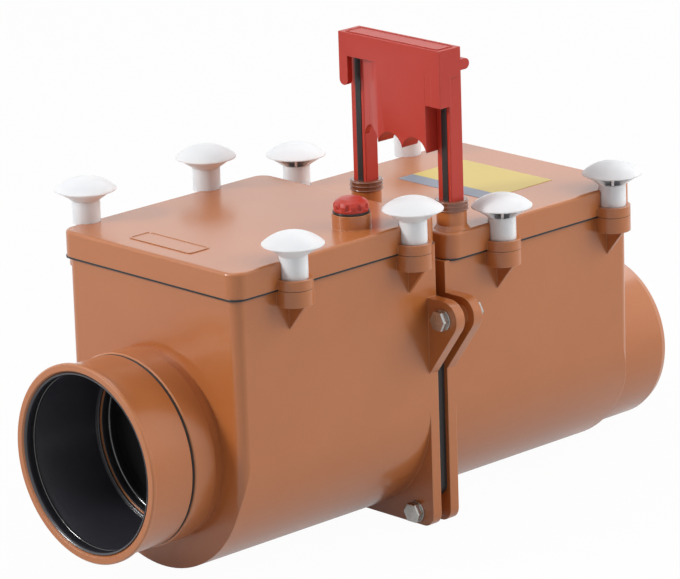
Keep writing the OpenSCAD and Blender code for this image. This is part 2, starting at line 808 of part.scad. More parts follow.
// The rear leg ends in the tongue that holds the outlet flap shut
module lock_rear_leg() {
    color(red) {
        leg(rear_leg_y, leg_foot, handle_top - bar_h + over);
        translate([tongue_x, rear_leg_y - leg_dy / 2, tongue_foot])
            cube([leg_web, leg_dy, leg_foot + over - tongue_foot]);
    }
}

module lock_front_leg() {
    color(red) leg(front_leg_y, leg_foot, slot_front_top);
}

// Black strips in the slots of the legs
module lock_leg_strips() {
    strip_x = leg_face + strip_depth;
    slot_w = leg_dy - leg_thin - leg_thick;
    color(black) for (p = [[rear_leg_y, handle_top - bar_h], [front_leg_y, slot_front_top]])
        translate([strip_x, p[0] - leg_dy / 2 + leg_thin, leg_foot + 1])
            cube([tongue_x - strip_x, slot_w, p[1] - leg_foot - 1]);
}

// Bar, hook, corner post and finger grip of the handle
module lock_handle() {
    grip_rear = rear_leg_y - leg_dy / 2;
    grip_front = front_leg_y + leg_dy / 2;
    pitch = (grip_rear - grip_front) / 3;
    tip_z = handle_top - grip_drop;
    arch_r = (pitch * pitch / 4 + arch_h * arch_h) / (2 * arch_h);
    grip_back = handle_x + grip_dx;
    slit = 27;
    lug_l = 6;
    lug_w = 8;
    lug_half = 5;
    color(red) {
        translate([handle_x, bar_front, handle_top - bar_h]) cube([bar_dx, bar_rear - bar_front, bar_h]);
        along_x(handle_x, hook_t) {
            translate([bar_rear - hook_w, handle_top - hook_h + hook_w / 2])
                square([hook_w, hook_h - hook_w / 2 - over]);
            translate([bar_rear - hook_w / 2, handle_top - hook_h + hook_w / 2]) circle(hook_w / 2);
        }
        translate([handle_x, bar_front, handle_top - post_h])
            cube([bar_ahead, post_w, post_h - over]);
        translate([handle_x, bar_front, handle_top - slit])
            cube([bar_dx, cheek_t - 0.3, slit - over]);
        difference() {
            translate([0, 0, tip_z]) linear_extrude(grip_drop - bar_h + eps) polygon([
                [handle_x, grip_front], [handle_x, grip_rear - grip_run],
                [handle_x + 0.25 * bar_ahead, grip_rear - 0.7 * grip_run],
                [handle_x + 0.75 * bar_ahead, grip_rear - 0.3 * grip_run],
                [leg_face + eps, grip_rear], [grip_back, grip_rear], [grip_back, grip_front]
            ]);
            for (i = [0 : 2]) translate([0, grip_front + (i + 0.5) * pitch, tip_z + arch_h - arch_r])
                bar_x(handle_x - over, grip_dx + 2 * over, arch_r);
        }
        translate([handle_x + bar_dx - eps, bar_front, handle_top - bar_h]) {
            cube([lug_l, lug_w, 2 * lug_half]);
            translate([lug_l, 0, lug_half]) rotate([-90, 0, 0]) cylinder(h = lug_w, r = lug_half);
        }
    }
}

// Fluted cap and shank of the test plug
module test_plug() {
    base = inlet_top + plug_boss_h + 2;
    color(red) translate([-plug_x, plug_y, base]) {
        difference() {
            rotate_extrude() polygon([[0, 0], [plug_cap_r, 0], [plug_cap_r, plug_cap_h - 6],
                [plug_cap_r - 2, plug_cap_h - 3], [plug_cap_r - 6, plug_cap_h - 0.8], [0, plug_cap_h]]);
            for (i = [0 : plug_flutes - 1]) rotate(i * 360 / plug_flutes)
                translate([plug_cap_r + 1.6, 0, 2.5]) cylinder(h = plug_cap_h, r = 3.2);
        }
        translate([0, 0, -plug_shank_l]) cylinder(h = plug_shank_l + eps, r = plug_shank_r);
    }
}

module test_plug_seal() {
    color(black) translate([-plug_x, plug_y, inlet_top + plug_boss_h]) difference() {
        cylinder(h = 2, r = plug_cap_r + 0.8);
        translate([0, 0, -over]) cylinder(h = 2 + 2 * over, r = plug_shank_r + 0.1);
    }
}

// Two opposite sectors of a round part, as a flat outline
module sectors(r, half_angle) {
    for (s = [-1, 1]) polygon([[0, 0], s * r * [cos(half_angle), -sin(half_angle)],
        s * r * [1, 0], s * r * [cos(half_angle), sin(half_angle)]]);
}

// A lid fastener: domed head with fins and two webs under it, a tube for a stem, and a shank with a nib
module fastener(at, top, turn) {
    dome_r = (head_r * head_r + head_dome * head_dome) / (2 * head_dome);
    bore = stem_r - stem_wall;
    dome_top = head_rim + head_dome;
    fin_t = 2.4;
    color(white) translate([at[0], at[1], top]) {
        rotate_extrude() intersection() {
            translate([0, dome_top - dome_r]) difference() {
                circle(dome_r, $fn = 256);
                circle(dome_r - head_t, $fn = 256);
            }
            translate([0, head_rim - 0.8]) square([head_r, head_dome + over]);
        }
        difference() {
            translate([0, 0, -pocket_drop + 0.2]) cylinder(h = pocket_drop - 0.2 + stem_top, r = stem_r);
            translate([0, 0, -pocket_drop + 3]) cylinder(h = pocket_drop + stem_top, r = bore);
        }
        intersection() {
            rotate_extrude() polygon([[bore + 0.5, stem_top - 2], [stem_r - 0.2, stem_top - 0.5],
                [head_r - 1, head_rim - 0.6], [head_r - 3, head_rim + 1.5], [bore + 0.5, stem_top + 2.5]]);
            rotate(turn) linear_extrude(dome_top) sectors(2 * head_r, web_angle);
        }
        intersection() {
            rotate_extrude() polygon([[0, -pocket_drop + 2], [bore + 0.4, -pocket_drop + 2],
                [bore + 0.4, stem_top - 1], [head_r - 6, head_rim - 1],
                [head_r - 9, head_rim + 0.45 * head_dome], [0, dome_top - head_t / 2]]);
            for (a = [0 : 60 : 120]) rotate(a + turn + 30) translate([-head_r, -fin_t / 2, -pocket_drop])
                cube([2 * head_r, fin_t, 2 * pocket_drop + dome_top]);
        }
        translate([0, 0, -shank_drop]) cylinder(h = shank_drop - pocket_drop + 0.3, r = shank_r);
        translate([0, 0, -nib_drop]) rotate([0, 90, 0]) cylinder(h = 2 * nib_reach, r = nib_r, center = true);
    }
}

inlet_chamber();
outlet_chamber();
inlet_socket();
inlet_socket_lining();
outlet_spigot();
seat_plate();
inlet_flange_gasket();
outlet_flange_gasket();
flange_bolts();
flange_washers();
flange_nuts();
inlet_flap_seat();
inlet_flap_pin();
outlet_flap_pin();
inlet_flap();
inlet_flap_facing();
outlet_flap();
outlet_flap_facing();
inlet_lid();
inlet_lid_gasket();
outlet_lid();
outlet_lid_gasket();
gland_caps();
wiper_seals();
lock_handle();
lock_rear_leg();
lock_front_leg();
lock_leg_strips();
test_plug();
test_plug_seal();
fastener(inlet_fasteners[0], inlet_top, inlet_web);  // inlet_fastener_1
fastener(inlet_fasteners[1], inlet_top, inlet_web);  // inlet_fastener_2
fastener(inlet_fasteners[2], inlet_raised, inlet_web);  // inlet_fastener_3
fastener(inlet_fasteners[3], inlet_raised, inlet_web);  // inlet_fastener_4
fastener(outlet_fasteners[0], outlet_top, outlet_web);  // outlet_fastener_1
fastener(outlet_fasteners[1], outlet_top, outlet_web);  // outlet_fastener_2
fastener(outlet_fasteners[2], outlet_raised, outlet_web);  // outlet_fastener_3
fastener(outlet_fasteners[3], outlet_raised, outlet_web);  // outlet_fastener_4
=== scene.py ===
import json
import math
import bpy
import bmesh
from mathutils import Matrix, Vector


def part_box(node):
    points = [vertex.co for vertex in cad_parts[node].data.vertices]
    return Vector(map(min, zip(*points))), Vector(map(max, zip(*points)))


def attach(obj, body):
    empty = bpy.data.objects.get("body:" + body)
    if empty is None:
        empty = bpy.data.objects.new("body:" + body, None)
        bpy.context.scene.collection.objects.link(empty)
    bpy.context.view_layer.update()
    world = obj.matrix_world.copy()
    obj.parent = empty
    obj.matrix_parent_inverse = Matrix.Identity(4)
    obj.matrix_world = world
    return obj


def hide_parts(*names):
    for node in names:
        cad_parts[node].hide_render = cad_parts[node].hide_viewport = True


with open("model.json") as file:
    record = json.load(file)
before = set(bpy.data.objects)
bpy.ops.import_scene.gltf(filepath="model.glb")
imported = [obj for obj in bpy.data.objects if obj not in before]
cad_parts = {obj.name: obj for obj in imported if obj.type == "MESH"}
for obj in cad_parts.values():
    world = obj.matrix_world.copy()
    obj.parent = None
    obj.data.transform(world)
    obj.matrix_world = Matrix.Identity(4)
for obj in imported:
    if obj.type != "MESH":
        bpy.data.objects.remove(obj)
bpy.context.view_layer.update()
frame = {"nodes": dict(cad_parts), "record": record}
nodes = frame["nodes"]
scene = bpy.context.scene
print("frame loaded:", len(nodes), "solids")


# camera, where the photographer stood
cameraSet = {
    "eye": (-2.889313, -3.033592, 1.435889),
    "right": (0.719850, -0.693456, -0.030575),
    "up": (0.217036, 0.183021, 0.958853),
    "back": (-0.659326, -0.696866, 0.282253),
    "lens": 250.736,
    "sensor": 36,
    "clip": (0.1, 60),
}


def placeCamera(v):
    data = bpy.data.cameras.new("photoCamera")
    data.sensor_fit = "HORIZONTAL"
    data.sensor_width = v["sensor"]
    data.lens = v["lens"]
    data.clip_start, data.clip_end = v["clip"]
    cam = bpy.data.objects.new("photoCamera", data)
    turn = Matrix((v["right"], v["up"], v["back"])).transposed()
    cam.matrix_world = Matrix.Translation(v["eye"]) @ turn.to_4x4()
    scene.collection.objects.link(cam)
    scene.camera = cam


placeCamera(cameraSet)
print("camera placed")


# shared shader groups
groupSet = {
    "fineNoise": {"detail": 2.0, "rough": 0.5},
    "flowNoise": {"detail": 4.0, "rough": 0.6},
    "patchNoise": {"detail": 5.0, "rough": 0.65},
    "patchRamp": (0.42, 0.72),
    "edgeSamples": 6,
}


def newGroup(name, inputs, outputs):
    g = bpy.data.node_groups.new(name, "ShaderNodeTree")
    for label in inputs:
        g.interface.new_socket(name=label, in_out="INPUT", socket_type="NodeSocketFloat")
    for label, kind in outputs.items():
        g.interface.new_socket(name=label, in_out="OUTPUT", socket_type=kind)
    return g, g.nodes.new("NodeGroupInput"), g.nodes.new("NodeGroupOutput")


def mathNode(tree, kind, *values, clamp=False):
    n = tree.nodes.new("ShaderNodeMath")
    n.operation = kind
    n.use_clamp = clamp
    for socket, value in zip(n.inputs, values):
        if isinstance(value, (int, float)):
            socket.default_value = value
        else:
            tree.links.new(value, socket)
    return n.outputs[0]


def noiseNode(tree, scale, detail, rough):
    coord = tree.nodes.new("ShaderNodeTexCoord")
    n = tree.nodes.new("ShaderNodeTexNoise")
    n.inputs["Detail"].default_value = detail
    n.inputs["Roughness"].default_value = rough
    tree.links.new(scale, n.inputs["Scale"])
    tree.links.new(coord.outputs["Object"], n.inputs["Vector"])
    return n.outputs["Fac"]


def mouldGrainGroup(v):
    # fine spark-eroded skin of a moulding, with slow flow marks
    g, gin, gout = newGroup("mouldGrain", ("Grain Size", "Flow Size"),
                            {"Height": "NodeSocketFloat", "Flow": "NodeSocketFloat"})
    g.links.new(noiseNode(g, gin.outputs["Grain Size"], **v["fineNoise"]), gout.inputs["Height"])
    g.links.new(noiseNode(g, gin.outputs["Flow Size"], **v["flowNoise"]), gout.inputs["Flow"])
    return g


def roundedEdgeGroup(v):
    # softened corners, and a mask of where they are, which paints a highlight along the edges
    g, gin, gout = newGroup("roundedEdgeAndHighlight", ("Radius", "Spread"),
                            {"Normal": "NodeSocketVector", "Mask": "NodeSocketFloat"})
    bevel = g.nodes.new("ShaderNodeBevel")
    bevel.samples = v["edgeSamples"]
    g.links.new(gin.outputs["Radius"], bevel.inputs["Radius"])
    geo = g.nodes.new("ShaderNodeNewGeometry")
    dot = g.nodes.new("ShaderNodeVectorMath")
    dot.operation = "DOT_PRODUCT"
    g.links.new(bevel.outputs["Normal"], dot.inputs[0])
    g.links.new(geo.outputs["Normal"], dot.inputs[1])
    off = mathNode(g, "SUBTRACT", 1.0, dot.outputs["Value"])
    mask = mathNode(g, "MULTIPLY", off, gin.outputs["Spread"], clamp=True)
    g.links.new(bevel.outputs["Normal"], gout.inputs["Normal"])
    g.links.new(mask, gout.inputs["Mask"])
    return g


def handlingGroup(v):
    # faint dust and finger marks in patches
    g, gin, gout = newGroup("handling", ("Patch Size", "Amount"), {"Marks": "NodeSocketFloat"})
    ramp = g.nodes.new("ShaderNodeValToRGB")
    for stop, place in zip(ramp.color_ramp.elements, v["patchRamp"]):
        stop.position = place
    g.links.new(noiseNode(g, gin.outputs["Patch Size"], **v["patchNoise"]), ramp.inputs["Fac"])
    marks = mathNode(g, "MULTIPLY", ramp.outputs["Color"], gin.outputs["Amount"], clamp=True)
    g.links.new(marks, gout.inputs["Marks"])
    return g


groups = {
    "grain": mouldGrainGroup(groupSet),
    "edge": roundedEdgeGroup(groupSet),
    "handling": handlingGroup(groupSet),
}


def groupNode(tree, kind, inputs):
    n = tree.nodes.new("ShaderNodeGroup")
    n.node_tree = groups[kind]
    for label, value in inputs.items():
        n.inputs[label].default_value = value
    return n.outputs


def mixColour(tree, factor, a, b):
    # sockets 6 and 7 take the colours, output 2 gives the mix
    n = tree.nodes.new("ShaderNodeMix")
    n.data_type = "RGBA"
    tree.links.new(factor, n.inputs["Factor"])
    for socket, value in ((n.inputs[6], a), (n.inputs[7], b)):
        if isinstance(value, tuple):
            socket.default_value = (*value, 1.0)
        else:
            tree.links.new(value, socket)
    return n.outputs[2]


def surface(name, v):
    # one moulded, rubber or metal finish from its dictionary of values
    mat = bpy.data.materials.new(name)
    mat.use_nodes = True
    t = mat.node_tree
    bsdf = t.nodes["Principled BSDF"]
    grain = groupNode(t, "grain", {"Grain Size": v["grainSize"], "Flow Size": v["flowSize"]})
    edge = groupNode(t, "edge", {"Radius": v["edgeRadius"], "Spread": v["edgeHighlightSpread"]})
    marks = groupNode(t, "handling", {"Patch Size": v["patchSize"], "Amount": v["patchAmount"]})["Marks"]
    flow = mathNode(t, "MULTIPLY_ADD", grain["Flow"], v["flowGain"], v["flowShift"], clamp=True)
    colour = mixColour(t, flow, v["colour"], v["colourDeep"])
    dusty = mixColour(t, marks, colour, v["dust"])
    # painted highlight: the colour is lightened along the edges by the rounded-edge mask
    edgeHighlightMask = mathNode(t, "MULTIPLY", edge["Mask"], v["paintedEdgeHighlight"])
    t.links.new(mixColour(t, edgeHighlightMask, dusty, v["edgeHighlightColour"]), bsdf.inputs["Base Color"])
    rough = mathNode(t, "MULTIPLY_ADD", marks, v["roughMarks"], v["rough"])
    t.links.new(rough, bsdf.inputs["Roughness"])
    bump = t.nodes.new("ShaderNodeBump")
    bump.inputs["Strength"].default_value = v["grainDepth"]
    bump.inputs["Distance"].default_value = v["grainHeight"]
    t.links.new(grain["Height"], bump.inputs["Height"])
    t.links.new(edge["Normal"], bump.inputs["Normal"])
    t.links.new(bump.outputs["Normal"], bsdf.inputs["Normal"])
    bsdf.inputs["Metallic"].default_value = v["metal"]
    bsdf.inputs["Specular IOR Level"].default_value = v["specular"]
    bsdf.inputs["Coat Weight"].default_value = v["coat"]
    bsdf.inputs["Coat Roughness"].default_value = v["coatRough"]
    if "clear" in v:
        bsdf.inputs["Transmission Weight"].default_value = v["clear"]
        bsdf.inputs["IOR"].default_value = v["clearIor"]
    if "scatter" in v:
        bsdf.inputs["Subsurface Weight"].default_value = v["scatter"]
        bsdf.inputs["Subsurface Radius"].default_value = v["scatterRadius"]
        bsdf.inputs["Subsurface Scale"].default_value = v["depth"]
    return mat


plain = {
    "grainSize": 650.0, "grainDepth": 0.45, "grainHeight": 0.0003,
    "flowSize": 8.0, "flowGain": 1.6, "flowShift": -0.3,
    # the edge colour and strength paint a highlight along every edge
    "edgeRadius": 0.0012, "edgeHighlightSpread": 5.0, "paintedEdgeHighlight": 0.35,
    "patchSize": 14.0, "patchAmount": 0.10, "rough": 0.3, "roughMarks": 0.25,
    "metal": 0.0, "specular": 0.5, "coat": 0.0, "coatRough": 0.1,
}
finishes = {
    "orange_plastic": dict(
        plain, colour=(0.455, 0.142, 0.032), colourDeep=(0.420, 0.124, 0.026), dust=(0.50, 0.20, 0.09),
        edgeHighlightColour=(0.72, 0.36, 0.18), paintedEdgeHighlight=0.5, rough=0.45, specular=0.4, coat=1.0, coatRough=0.2),
    "red_plastic": dict(
        plain, colour=(0.490, 0.033, 0.016), colourDeep=(0.430, 0.024, 0.012), dust=(0.52, 0.07, 0.05),
        edgeHighlightColour=(0.72, 0.15, 0.12), rough=0.34, grainDepth=0.12),
    "white_plastic": dict(
        plain, colour=(0.95, 0.97, 1.0), colourDeep=(0.92, 0.95, 0.99), dust=(0.76, 0.77, 0.78),
        edgeHighlightColour=(0.95, 0.96, 0.97), rough=0.32, grainDepth=0.08, clear=0.05, clearIor=1.25,
        scatter=0.6, scatterRadius=(1.0, 0.95, 0.9), depth=0.008),
    "black_rubber": dict(
        plain, colour=(0.012, 0.012, 0.013), colourDeep=(0.008, 0.008, 0.009), dust=(0.035, 0.034, 0.033),
        edgeHighlightColour=(0.05, 0.05, 0.05), rough=0.3, grainDepth=0.15),
    "black_plastic": dict(
        plain, colour=(0.016, 0.016, 0.018), colourDeep=(0.011, 0.011, 0.012), dust=(0.04, 0.039, 0.038),
        edgeHighlightColour=(0.06, 0.06, 0.06), rough=0.45, grainDepth=0.4),
    "grey_plastic": dict(
        plain, colour=(0.16, 0.17, 0.18), colourDeep=(0.13, 0.14, 0.15), dust=(0.22, 0.22, 0.22),
        edgeHighlightColour=(0.30, 0.31, 0.32), rough=0.45, grainDepth=0.4),
    "zinc_steel": dict(
        plain, colour=(0.60, 0.60, 0.58), colourDeep=(0.46, 0.46, 0.45), dust=(0.40, 0.39, 0.36),
        edgeHighlightColour=(0.80, 0.80, 0.79), metal=1.0, rough=0.26, roughMarks=0.3, grainDepth=0.15,
        patchSize=120.0, patchAmount=0.5, flowSize=60.0, edgeRadius=0.0005),
    "stainless_steel": dict(
        plain, colour=(0.58, 0.58, 0.58), colourDeep=(0.50, 0.50, 0.50), dust=(0.4, 0.4, 0.4),
        edgeHighlightColour=(0.7, 0.7, 0.7), metal=1.0, rough=0.3, grainDepth=0.1, edgeRadius=0.0004),
}
looks = {slot: surface(slot.title().replace("_", ""), v) for slot, v in finishes.items()}
for sub in frame["record"]["subparts"]:
    o = nodes[sub["node"]]
    o.data.materials.clear()
    o.data.materials.append(looks[sub["material_slot"]])
print("finishes on the solids:", len(looks))


# helpers for new pieces
weldGap = 1e-6
levelNormal = 0.9  # a face whose normal is this upright counts as level


def newObject(name, bm):
    mesh = bpy.data.meshes.new(name)
    bm.to_mesh(mesh)
    bm.free()
    o = bpy.data.objects.new(name, mesh)
    scene.collection.objects.link(o)
    return o


def newPiece(name, bm, body, slotName, material=None):
    o = newObject(name, bm)
    o.data.materials.append(material or looks[slotName])
    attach(o, body)
    return o


def smoothBy(o, degrees):
    for p in o.data.polygons:
        p.use_smooth = True
    o.data.set_sharp_from_angle(angle=math.radians(degrees))


def weld(bm):
    bmesh.ops.remove_doubles(bm, verts=bm.verts, dist=weldGap)
    bmesh.ops.recalc_face_normals(bm, faces=bm.faces)


def quarterTurn(axis):
    return Matrix.Rotation(math.radians(90), 3, axis)


def roundEdges(bm, edges, width, segments):
    bmesh.ops.bevel(bm, geom=edges, offset=width, segments=segments, profile=0.5,
                    affect="EDGES", material=-1)


def flatPlate(x0, x1, y0, y1, z, thick, corner):
    bm = bmesh.new()
    bmesh.ops.create_cube(bm, size=1.0)
    bmesh.ops.scale(bm, vec=(x1 - x0, y1 - y0, thick), verts=bm.verts)
    bmesh.ops.translate(bm, vec=((x0 + x1) / 2, (y0 + y1) / 2, z + thick / 2), verts=bm.verts)
    if corner > 0:
        upright = [e for e in bm.edges if abs(e.verts[0].co.z - e.verts[1].co.z) > thick / 2]
        roundEdges(bm, upright, corner, 4)
    return bm


def spinFull(bm, geom, centre, axis, steps):
    bmesh.ops.spin(bm, geom=geom, cent=centre, axis=axis, angle=math.tau, steps=steps, use_merge=True)


def spinAboutFlow(bm, line, z, steps, closed):
    verts = [bm.verts.new((x, 0, z + r)) for x, r in line]
    pairs = list(zip(verts, verts[1:])) + ([(verts[-1], verts[0])] if closed else [])
    edges = [bm.edges.new(pair) for pair in pairs]
    spinFull(bm, verts + edges, (0, 0, z), (1, 0, 0), steps)


def spinWire(bm, v, start, centre, axis):
    ring = bmesh.ops.create_circle(bm, cap_ends=False, segments=v["sides"], radius=v["wire"])["verts"]
    bmesh.ops.rotate(bm, verts=ring, cent=(0, 0, 0), matrix=quarterTurn("X"))
    bmesh.ops.translate(bm, verts=ring, vec=start)
    loop = [e for e in bm.edges if e.verts[0] in ring]
    spinFull(bm, ring + loop, centre, axis, v["steps"])


# blank label on the outlet lid: yellow field with a grey band
labelSet = {"x": (0.117, 0.206), "y": (-0.056, 0.060), "top": 0.274, "thick": 0.0003, "band": 0.02}
labelPlain = dict(plain, rough=0.35, grainDepth=0.03, edgeRadius=0.0003)
labelLook = {
    "field": dict(labelPlain, colour=(0.64, 0.49, 0.13), colourDeep=(0.60, 0.46, 0.11),
                  dust=(0.58, 0.47, 0.2), edgeHighlightColour=(0.75, 0.6, 0.2)),
    "band": dict(labelPlain, colour=(0.22, 0.25, 0.31), colourDeep=(0.19, 0.22, 0.28),
                 dust=(0.3, 0.31, 0.33), edgeHighlightColour=(0.4, 0.42, 0.46)),
}


def makeLabel(v):
    x0, x1 = v["x"]
    split = x0 + v["band"]
    bm = flatPlate(split, x1, *v["y"], v["top"], v["thick"], 0.0)
    newPiece("labelField", bm, "outlet_lid", "orange_plastic", surface("LabelField", labelLook["field"]))
    bm = flatPlate(x0, split, *v["y"], v["top"], v["thick"], 0.0)
    newPiece("labelBand", bm, "outlet_lid", "orange_plastic", surface("LabelBand", labelLook["band"]))


makeLabel(labelSet)
print("label laid")


# plain sunk cartouche on the inlet lid, and a sunk panel on the handle's top
panelSet = {
    "lidCartouche": {"x": (-0.2335, -0.208), "y": (-0.036, 0.046), "top": 0.295, "thick": 0.0008,
                     "corner": 0.004, "rim": 0.0016, "sink": 0.0006,
                     "body": "inlet_lid", "slot": "orange_plastic"},
    "handlePanel": {"x": (0.0115, 0.0325), "y": (-0.104, 0.016), "top": 0.443, "thick": 0.0007,
                    "corner": 0.003, "rim": 0.0014, "sink": 0.0006,
                    "body": "lock", "slot": "red_plastic"},
}


def makePanel(name, v):
    bm = flatPlate(*v["x"], *v["y"], v["top"], v["thick"], v["corner"])
    top = max(bm.faces, key=lambda f: f.calc_center_median().z)
    bmesh.ops.inset_region(bm, faces=[top], thickness=v["rim"], depth=0.0)
    bmesh.ops.inset_region(bm, faces=[top], thickness=v["sink"] / 2, depth=-v["sink"])
    newPiece(name, bm, v["body"], v["slot"])


for name, v in panelSet.items():
    makePanel(name, v)
print("panels sunk")


# zinc bolts with chamfered heads and rolled threads, and their nuts
boltSet = {
    "places": [(-0.131, 0.203), (0.131, 0.203), (-0.091, 0.012), (0.091, 0.012)],
    "flats": 0.017, "chamfer": 0.0008, "head": (-0.0249, -0.0185), "nut": (0.0185, 0.0265),
    "shank": (-0.019, 0.019), "shankR": 0.0048, "shankSides": 32,
    "thread": (0.0155, 0.0295), "threadR": 0.005, "pitch": 0.0015, "depth": 0.0009,
    "rootShare": 0.25, "crestShare": 0.65, "tipLine": [(0.0002, 0.001), (0.0, 0.0014)],
    "threadSteps": 28, "smooth": 35,
}


def rodAlongX(bm, x0, x1, r, sides):
    rod = bmesh.ops.create_cone(bm, cap_ends=True, segments=sides, radius1=r, radius2=r, depth=x1 - x0)
    made = rod["verts"]
    bmesh.ops.rotate(bm, verts=made, cent=(0, 0, 0), matrix=quarterTurn("Y"))
    bmesh.ops.translate(bm, verts=made, vec=((x0 + x1) / 2, 0, 0))
    return made


def hexAlongX(bm, x0, x1, v):
    made = rodAlongX(bm, x0, x1, v["flats"] / math.sqrt(3), 6)
    own = [e for e in bm.edges if e.verts[0] in made]
    ends = [e for e in own if abs(e.verts[0].co.x - e.verts[1].co.x) < weldGap]
    roundEdges(bm, ends, v["chamfer"], 3)


def threadAlongX(bm, v):
    x0, x1 = v["thread"]
    r, pitch = v["threadR"], v["pitch"]
    root = r - v["depth"]
    line = [(x0, root)]
    for i in range(int((x1 - x0) / pitch)):
        line.append((x0 + (i + v["rootShare"]) * pitch, root))
        line.append((x0 + (i + v["crestShare"]) * pitch, r))
    line += [(x1 - back, r - drop) for back, drop in v["tipLine"]] + [(x1, 0.0)]
    spinAboutFlow(bm, line, 0, v["threadSteps"], closed=False)


def makeBolts(v):
    for name, node in (("flangeBolts", "flange_bolts"), ("flangeNuts", "flange_nuts")):
        whole = bmesh.new()
        for y, z in v["places"]:
            bm = bmesh.new()
            if node == "flange_bolts":
                hexAlongX(bm, *v["head"], v)
                rodAlongX(bm, *v["shank"], v["shankR"], v["shankSides"])
                threadAlongX(bm, v)
            else:
                hexAlongX(bm, *v["nut"], v)
            weld(bm)
            bmesh.ops.translate(bm, verts=bm.verts, vec=(0, y, z))
            part = bpy.data.meshes.new("boltPart")
            bm.to_mesh(part)
            bm.free()
            whole.from_mesh(part)
            bpy.data.meshes.remove(part)
        o = newPiece(name, whole, "root", "zinc_steel")
        smoothBy(o, v["smooth"])
        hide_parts(node)


makeBolts(boltSet)
print("bolts turned")


# raised rings round the guide caps of the lock's legs
ringSet = {"legs": [(0.0305, 0.0125), (0.0305, -0.098)], "rise": (0.0008, 0.0047, 0.0084),
           "r": 0.0149, "wire": 0.0008, "sides": 12, "steps": 64, "smooth": 60}
capLook = surface("GuideCap", dict(
    finishes["orange_plastic"], colour=(0.20, 0.062, 0.028), colourDeep=(0.16, 0.048, 0.022),
    edgeHighlightColour=(0.46, 0.18, 0.09), rough=0.25))
nodes["gland_caps"].data.materials[0] = capLook


def makeRings(v):
    bm = bmesh.new()
    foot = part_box("gland_caps")[0][2]
    for x, y in v["legs"]:
        for z in (foot + rise for rise in v["rise"]):
            spinWire(bm, v, (x + v["r"], y, z), (x, y, z), (0, 0, 1))
    weld(bm)
    smoothBy(newPiece("guideCapRings", bm, "outlet_lid", "orange_plastic", capLook), v["smooth"])


makeRings(ringSet)
print("guide caps ringed")


# rubber lining of the socket with a soft lip, and a thin sleeve through the neck
# each profile row: place along the flow and its offset, radius and its offset
liningSet = {
    "mouth": -0.336, "shoulder": -0.2500, "neckEnd": -0.2456, "axisZ": 0.118,
    "bore": 0.0803, "outside": 0.08345, "foot": 0.0769, "neckBore": 0.0753, "steps": 160, "smooth": 50,
    "profile": [
        ("shoulder", -0.0001, "outside", 0.0),
        ("mouth", 0.0034, "outside", 0.0),
        ("mouth", 0.0016, "outside", -0.0003),
        ("mouth", 0.0010, "outside", -0.0010),
        ("mouth", 0.0014, "bore", 0.0010),
        ("mouth", 0.0030, "bore", 0.0002),
        ("mouth", 0.0090, "bore", 0.0),
        ("mouth", 0.0102, "bore", 0.0011),
        ("mouth", 0.0130, "bore", 0.0013),
        ("mouth", 0.0146, "bore", 0.0),
        ("shoulder", -0.0028, "bore", 0.0),
        ("shoulder", -0.0022, "bore", -0.0004),
        ("shoulder", -0.0020, "foot", 0.0003),
        ("shoulder", -0.0017, "foot", 0.0),
        ("shoulder", -0.0001, "foot", 0.0),
    ],
    "sleeve": [
        ("shoulder", 0.0008, "neckBore", 0.0),
        ("shoulder", 0.0010, "neckBore", -0.0004),
        ("neckEnd", 0.0, "neckBore", -0.0004),
        ("neckEnd", 0.0, "neckBore", 0.0),
    ],
}
liningLook = surface("SocketRubber", dict(
    finishes["black_rubber"], colour=(0.032, 0.032, 0.041), colourDeep=(0.024, 0.024, 0.031),
    rough=0.3, coat=0.5, coatRough=0.12, edgeRadius=0.0005, paintedEdgeHighlight=0.0))


def makeLining(v):
    bm = bmesh.new()
    for rows in (v["profile"], v["sleeve"]):
        line = [(v[place] + along, v[radius] + out) for place, along, radius, out in rows]
        spinAboutFlow(bm, line, v["axisZ"], v["steps"], closed=True)
    weld(bm)
    o = newPiece("socketLining", bm, "root", "black_rubber", liningLook)
    smoothBy(o, v["smooth"])
    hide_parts("inlet_socket_lining")


# glossy lips of the flap's seat and the lining, and a dull black ring that paints the shade in the
# socket's groove
ringPlain = {"sides": 14, "steps": 128, "smooth": 60}
ringLines = {
    "seatLip": dict(ringPlain, x=-0.2405, r=0.0749, wire=0.0016, look="lip"),
    "liningLip": dict(ringPlain, x=-0.3246, r=0.0811, wire=0.0010, look="lip"),
    "grooveShadeRing": dict(ringPlain, x=-0.2850, r=0.0871, wire=0.0009, look="shade"),
}
ringLooks = {
    "lip": surface("GlossyLip", dict(
        finishes["black_rubber"], rough=0.1, roughMarks=0.05, coat=1.0, coatRough=0.05,
        paintedEdgeHighlight=0.0, specular=0.8)),
    # painted shade: a dull black ring stands for the shade in the groove
    "shade": surface("GrooveShade", dict(finishes["black_rubber"], rough=0.6, paintedEdgeHighlight=0.0)),
}


def makeRingLine(name, v):
    bm = bmesh.new()
    z = liningSet["axisZ"]
    spinWire(bm, v, (v["x"], 0, z + v["r"]), (0, 0, z), (1, 0, 0))
    weld(bm)
    smoothBy(newPiece(name, bm, "root", "black_rubber", ringLooks[v["look"]]), v["smooth"])


makeLining(liningSet)
for name, v in ringLines.items():
    makeRingLine(name, v)
print("socket lined")


# black strips under the lid skirts that paint the shade line there, cut away at the four cups
shadeStripPlain = {"y": 0.1157, "width": 0.0028, "thick": 0.0018, "corner": 0.011, "cup": 0.0172}
lidShadeStripSet = {
    "inletLidShadeStrip": dict(shadeStripPlain, body="inlet_lid", fasteners="inlet_fastener_",
                        x=(-0.2537, -0.0043), top=0.2710),
    "outletLidShadeStrip": dict(shadeStripPlain, body="outlet_lid", fasteners="outlet_fastener_",
                         x=(0.0093, 0.2537), top=0.2500),
}


